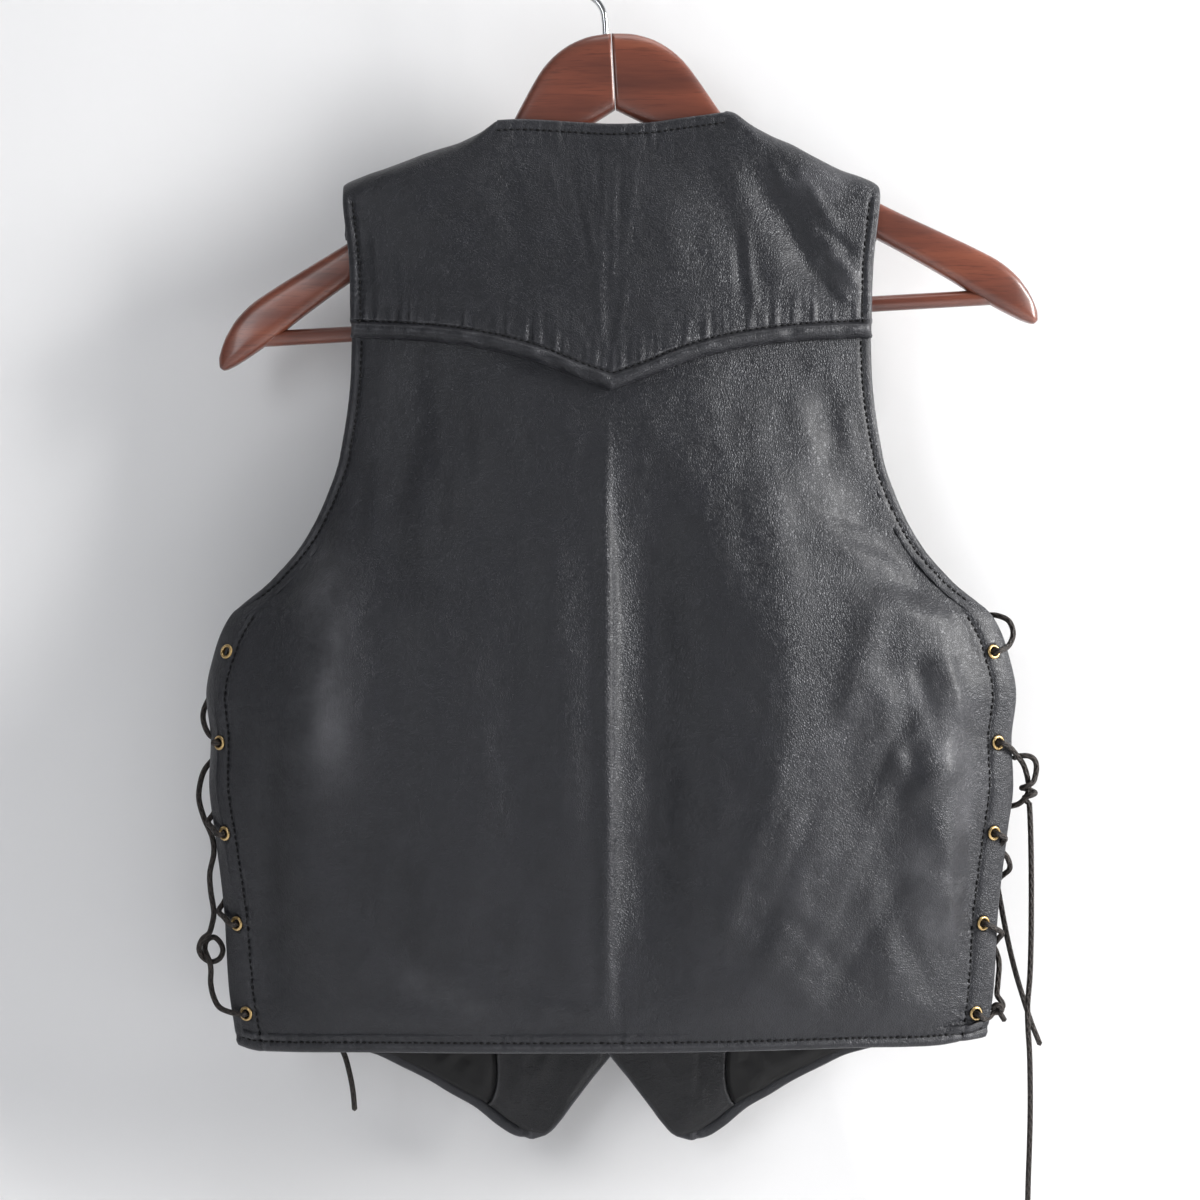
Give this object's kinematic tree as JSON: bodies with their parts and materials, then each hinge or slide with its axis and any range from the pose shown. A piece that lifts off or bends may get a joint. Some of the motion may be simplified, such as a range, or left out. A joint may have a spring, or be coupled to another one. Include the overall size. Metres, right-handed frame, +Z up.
{
  "type": "leather vest on a wooden hanger",
  "caption": "Black leather vest with a lapped back yoke and lace-up sides, hung from its shoulders on a wooden hanger with a trouser bar and a wire hook.",
  "frame": {"origin": "the seat, the inside top of the hanger's hook, where a rod holds it up", "axes": "+Z up; the vest's back faces -Y and its fronts face +Y; +X to the wearer's right"},
  "size_m": [0.4598, 0.0738, 0.7204],
  "materials": {
    "leather": "black full-grain leather with a soft sheen",
    "satin": "black satin lining",
    "lace": "round dark leather lace",
    "brass": "worn antique brass",
    "wood": "glossy mahogany lacquer",
    "chrome": "polished wire"
  },
  "bodies": {
    "root": {"back_panel": "leather", "back_yoke": "leather", "front_left": "leather", "front_right": "leather", "facing_left": "leather", "facing_right": "leather", "lining_left": "satin", "lining_right": "satin", "lace_left": "lace", "lace_right": "lace", "lace_left_to_knot": "lace", "lace_left_from_knot": "lace", "lace_right_to_eyelet": "lace", "knot_left": "lace", "knot_right": "lace", "hitch_right": "lace", "lace_end_right_long": "lace", "lace_end_right_short": "lace", "lace_end_left_inner": "lace", "eyelet_back_left_1": "brass", "eyelet_back_left_2": "brass", "eyelet_back_left_3": "brass", "eyelet_back_left_4": "brass", "eyelet_back_left_5": "brass", "eyelet_front_left_1": "brass", "eyelet_front_left_2": "brass", "eyelet_front_left_3": "brass", "eyelet_front_left_4": "brass", "eyelet_front_left_5": "brass", "eyelet_back_right_1": "brass", "eyelet_back_right_2": "brass", "eyelet_back_right_3": "brass", "eyelet_back_right_4": "brass", "eyelet_back_right_5": "brass", "eyelet_front_right_1": "brass", "eyelet_front_right_2": "brass", "eyelet_front_right_3": "brass", "eyelet_front_right_4": "brass", "eyelet_front_right_5": "brass", "snap_1": "brass", "snap_2": "brass", "snap_3": "brass", "snap_4": "brass", "hanger_body": "wood", "hanger_bar": "wood", "hanger_hook": "chrome"}
  },
  "joints": []
}
